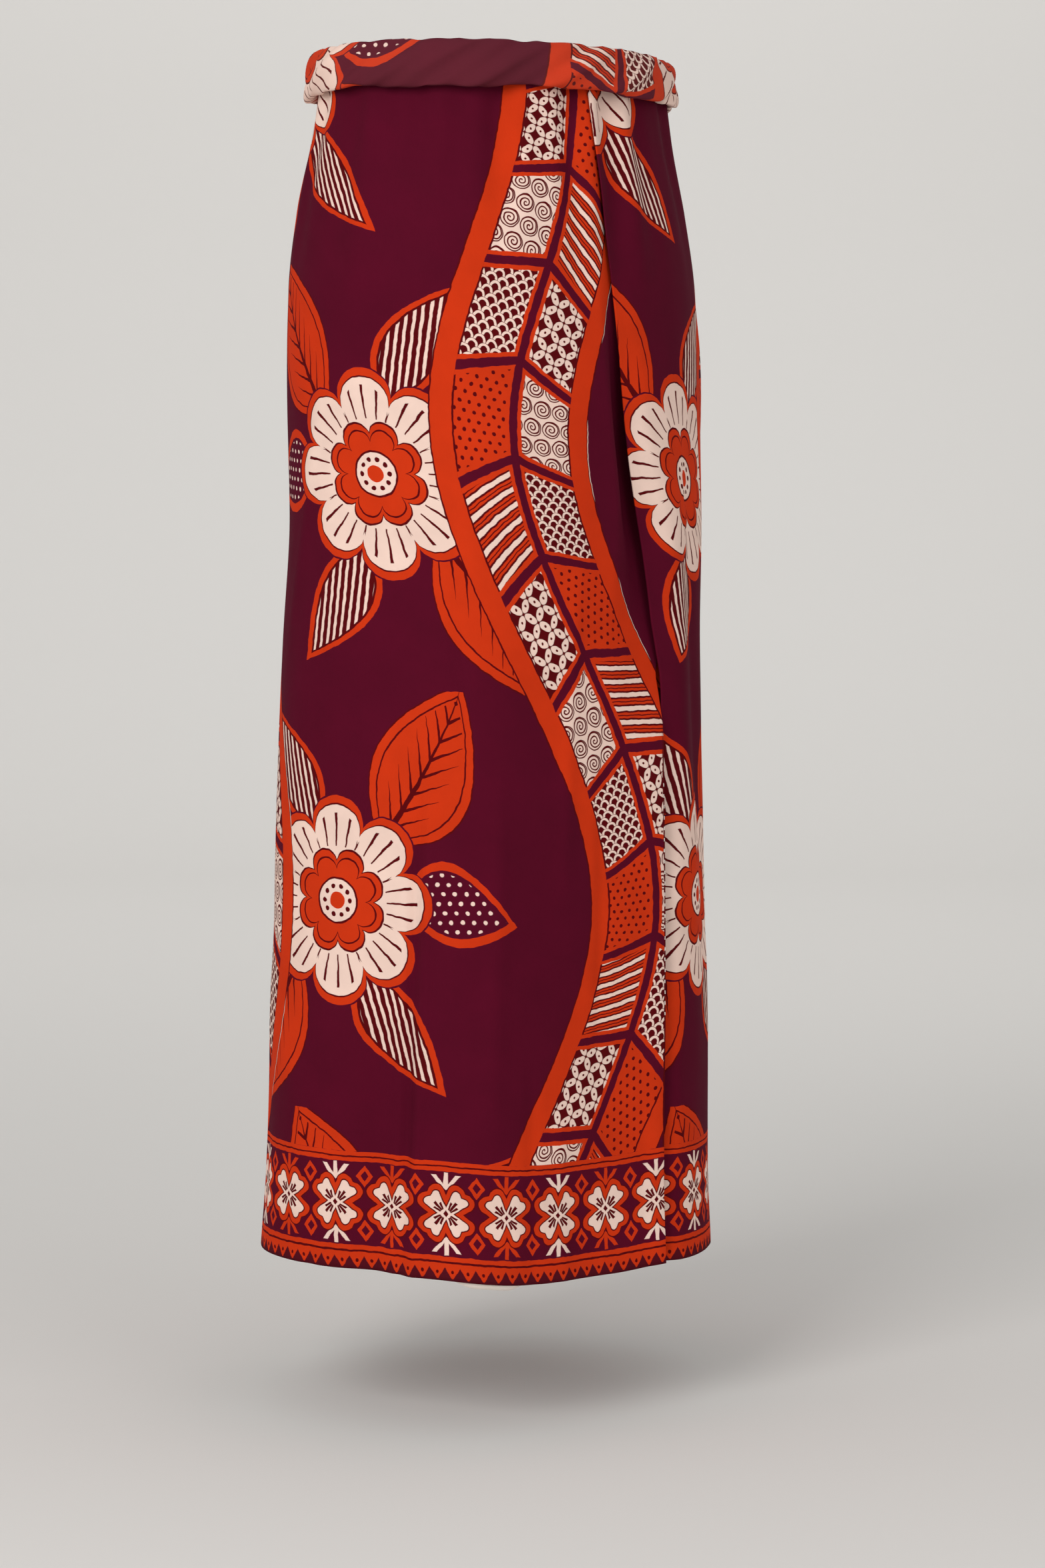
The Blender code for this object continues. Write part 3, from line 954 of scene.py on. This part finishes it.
def field_colour(u, v):
    """The field's colour at each place on the flat cloth."""
    wind = (v - START) * (2.0 * math.pi / RISE)
    middle = sine(wind) * SWING
    slope = cosine(wind) * (SWING * 2.0 * math.pi / RISE)
    ribbon = centred(u - middle - ACROSS_START - PERIOD / 2.0, PERIOD)

    # The ground between the ribbons: a flower with its leaves in each bend
    parity = sign(sine(wind))
    x = centred(u - ACROSS_START + parity * FLOWER_SHIFT, PERIOD) * parity
    y = (v - START) % (RISE / 2.0) - RISE / 4.0
    pair = sign(y + x * 0.35)
    colour = paint_leaf(AUBERGINE, x * pair, y * pair)
    colour = paint_bud(colour, x * pair, y * pair)
    colour = paint_blade(colour, x * pair, y * pair)
    colour = paint_flower(colour, x, y)

    # The ribbon over it: an orange edge, and patches with different fillings
    across = ribbon * (1.0 - slope * slope * 0.42)
    along = v + ribbon * slope * 0.8
    off = abs(across)
    bent = along + off * 0.42
    kind = (floor(bent / PATCH + 0.5) + over(across, 0.0, 0.1) * 2.0) % 5.0
    edge = least(PATCH / 2.0 - abs(centred(bent, PATCH)), off * 1.08)
    inside = under(off, RIBBON_INSIDE)
    cream, orange = ribbon_filling(across, along, kind)
    colour = paint(colour, MAROON, under(off, RIBBON_EDGE + 1.2))
    colour = paint(colour, ORANGE, under(off, RIBBON_EDGE))
    gap = both(under(abs(across - RIBBON_EDGE - 1.0), 0.3), over(sine(along / 23.0), 0.1))
    colour = paint(colour, CREAM, gap)
    colour = paint(colour, MAROON, inside)
    within = under(off, RIBBON_INSIDE - 1.4)
    colour = paint(colour, ORANGE, orange * within)
    colour = paint(colour, CREAM, cream * within)
    colour = paint(colour, ORANGE, both(under(edge, 6.4), inside))
    colour = paint(colour, AUBERGINE, both(under(edge, 3.2), inside))

    # The edge that shows along the crease below 400 mm: a dark maroon strip, partly print and
    # partly painted shade in the crease, with its undyed pin marks
    strip = both(between(u, 2.0, 14.0), under(v, 400.0, 30.0))
    colour = paint(colour, MAROON, strip)
    dashes = under(abs(centred(v, MARK_PITCH)), 1.3)
    marks = both(between(u, 2.4, 3.5), dashes, between(v, 190.0, 370.0))
    return paint(colour, UNDYED, marks)


def cloth_material(name, colour_of, pale):
    """Soft plain-woven cotton with a print; pale is how washed out it looks."""
    material = bpy.data.materials.new(name)
    material.use_nodes = True
    Value.tree = material.node_tree
    shader = Value.tree.nodes["Principled BSDF"]
    place, u, v = cloth_place()
    colour = colour_of(u, v)
    # Uneven dye, and thread by thread shade
    cloudy = print_noise(26.0, 3.0, place)
    shade = Value.node("MULTIPLY_ADD", Value(cloudy.outputs["Fac"]), 0.24, 0.88)
    warp = sine(u * (2.0 * math.pi / WARP_PITCH))
    weft = sine(v * (2.0 * math.pi / WEFT_PITCH))
    thread = Value.node("MULTIPLY_ADD", warp * weft, 0.035, 1.0)
    tint = Value.tree.nodes.new("ShaderNodeMix")
    tint.data_type = "RGBA"
    tint.blend_type = "MULTIPLY"
    tint.inputs["Factor"].default_value = 1.0
    Value.tree.links.new(colour, tint.inputs[6])
    Value.tree.links.new((shade * thread).source, tint.inputs[7])
    shown = tint.outputs[2]
    if pale > 0.0:
        shown = paint(shown, WASHED, pale)
    Value.tree.links.new(shown, shader.inputs["Base Color"])
    rough = Value.node("MULTIPLY_ADD", Value(cloudy.outputs["Fac"]), 0.10, 0.78)
    Value.tree.links.new(rough.source, shader.inputs["Roughness"])
    shader.inputs["Specular IOR Level"].default_value = 0.04
    # Weave and slubs as a bump
    slub = print_noise(420.0, 2.0, place)
    relief = Value.node("MULTIPLY_ADD", Value(slub.outputs["Fac"]), 1.4, warp * weft * 0.5)
    bump = Value.tree.nodes.new("ShaderNodeBump")
    bump.inputs["Strength"].default_value = 0.30
    bump.inputs["Distance"].default_value = 0.0002
    Value.tree.links.new(relief.source, bump.inputs["Height"])
    Value.tree.links.new(bump.outputs[0], shader.inputs["Normal"])
    return material


def dress():
    """The four pieces of cloth, each in place of its solid."""
    field = cloth_material("batik_field", field_colour, 0.0)
    border = cloth_material("batik_border", border_colour, 0.0)
    field_back = cloth_material("batik_field_back", field_colour, BACK_PALE)
    border_back = cloth_material("batik_border_back", border_colour, BACK_PALE)
    sides = [field, border, field_back, border_back]
    right = make_panel("right_cloth", right_cloth, PANEL_ROWS, sides)
    left = make_panel("left_cloth", left_cloth, PANEL_ROWS, sides)
    selvedge = cloth_material("batik_selvedge", selvedge_colour, 0.0)
    inner_sides = [field, selvedge, field_back, border_back]
    inner = make_panel("inner_cloth", inner_cloth, INNER_ROWS, inner_sides, inner_drop)
    waist = make_waist_roll([field_back, border_back])
    pieces = ((right, "right_panel"), (left, "left_panel"), (inner, "inner_layer"),
              (waist, "waist_roll"))
    slots = ("batik_cotton", "batik_cotton", "batik_cotton_inner", "batik_cotton_roll")
    for (piece, node), slot in zip(pieces, slots):
        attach(piece, BODY)
        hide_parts(node)
    stitches = make_stitches(plain_material("maroon_thread", MAROON))
    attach(stitches, BODY)


# The room: a pale floor that sweeps up behind, soft lights, and the camera

FLOOR_DROP = 0.112  # the hem hangs this far above the floor
FLOOR_REACH, BEND = 4.2, 1.6  # where the floor ends behind, and its sweep's radius
ROOM = 8.0  # the floor's reach to each side and in front, and the wall's height
VIEW_TURN = -52.0  # the camera stands this far round from the wearer's front
VIEW_DISTANCE = 3.0
VIEW_HEIGHT = 0.577  # above the hem
VIEW_TILT = 4.1  # down
VIEW_ASIDE = 0.0212  # the picture's middle lies this far right of the waist's middle
LENS = 88.6  # mm, on a frame 36 mm high


def plain_material(name, colour):
    material = bpy.data.materials.new(name)
    material.use_nodes = True
    shader = material.node_tree.nodes["Principled BSDF"]
    shader.inputs["Base Color"].default_value = colour
    shader.inputs["Roughness"].default_value = 0.9
    shader.inputs["Specular IOR Level"].default_value = 0.2
    return material


def view_directions():
    turn = math.radians(VIEW_TURN)
    right = Vector((math.cos(turn), math.sin(turn), 0.0))
    away = Vector((-math.sin(turn), math.cos(turn), 0.0))
    return right, away


def make_room():
    floor_z = -WORN_LENGTH * MM - FLOOR_DROP
    right, away = view_directions()
    profile = [(-ROOM, 0.0), (FLOOR_REACH, 0.0)]
    for degrees in range(10, 91, 10):
        bend = math.radians(degrees)
        profile.append((FLOOR_REACH + BEND * math.sin(bend), BEND - BEND * math.cos(bend)))
    profile.append((FLOOR_REACH + BEND, ROOM))
    points, faces = [], []
    for reach, height in profile:
        for side in (-ROOM, ROOM):
            points.append(away * reach + right * side + Vector((0, 0, floor_z + height)))
    for i in range(len(profile) - 1):
        faces.append((2 * i, 2 * i + 1, 2 * i + 3, 2 * i + 2))
    mesh = bpy.data.meshes.new("studio_sweep")
    mesh.from_pydata([tuple(point) for point in points], [], faces)
    mesh.shade_smooth()
    mesh.materials.append(plain_material("pale_paper", PAPER))
    sweep = bpy.data.objects.new("studio_sweep", mesh)
    bpy.context.scene.collection.objects.link(sweep)


def add_light(name, aside, ahead, up, size, watts, colour, aim_away=0.0, aim_up=-0.5):
    """An area light placed from the camera's side, aimed at the cloth or at the wall behind it."""
    right, away = view_directions()
    lamp = bpy.data.lights.new(name, "AREA")
    lamp.shape = "RECTANGLE"
    lamp.size, lamp.size_y = size
    lamp.energy = watts
    lamp.color = colour
    holder = bpy.data.objects.new(name, lamp)
    bpy.context.scene.collection.objects.link(holder)
    holder.location = right * aside - away * ahead + Vector((0, 0, up))
    aim = away * aim_away + Vector((0.0, 0.0, aim_up)) - holder.location
    holder.rotation_euler = aim.to_track_quat("-Z", "Y").to_euler()


def make_lights():
    add_light("key", -1.5, 2.7, 1.1, (1.6, 2.0), 59.0, (1.0, 0.985, 0.97))
    add_light("fill", 2.2, 2.6, 0.3, (2.2, 2.4), 19.0, (1.0, 0.985, 0.97))
    add_light("rim", 1.6, -1.8, 1.2, (1.2, 1.8), 3.0, (1.0, 0.99, 0.98))
    add_light("wall", 0.0, -2.4, 3.0, (5.0, 1.0), 72.0, (1.0, 0.99, 0.985), 5.7, 1.0)
    world = bpy.data.worlds.new("studio_light")
    world.use_nodes = True
    back = world.node_tree.nodes["Background"]
    back.inputs["Color"].default_value = (0.89, 0.89, 0.885, 1.0)
    back.inputs["Strength"].default_value = 0.58
    bpy.context.scene.world = world


def make_camera():
    right, away = view_directions()
    lens = bpy.data.cameras.new("camera")
    lens.lens = LENS
    lens.sensor_width = 36.0
    lens.clip_end = 50.0
    holder = bpy.data.objects.new("camera", lens)
    bpy.context.scene.collection.objects.link(holder)
    height = -WORN_LENGTH * MM + VIEW_HEIGHT
    holder.location = right * VIEW_ASIDE - away * VIEW_DISTANCE + Vector((0, 0, height))
    tilt = math.radians(VIEW_TILT)
    aim = away * math.cos(tilt) - Vector((0, 0, math.sin(tilt)))
    holder.rotation_euler = aim.to_track_quat("-Z", "Y").to_euler()
    bpy.context.scene.camera = holder


dress()
make_room()
make_lights()
make_camera()
bpy.context.scene.view_settings.view_transform = "Standard"
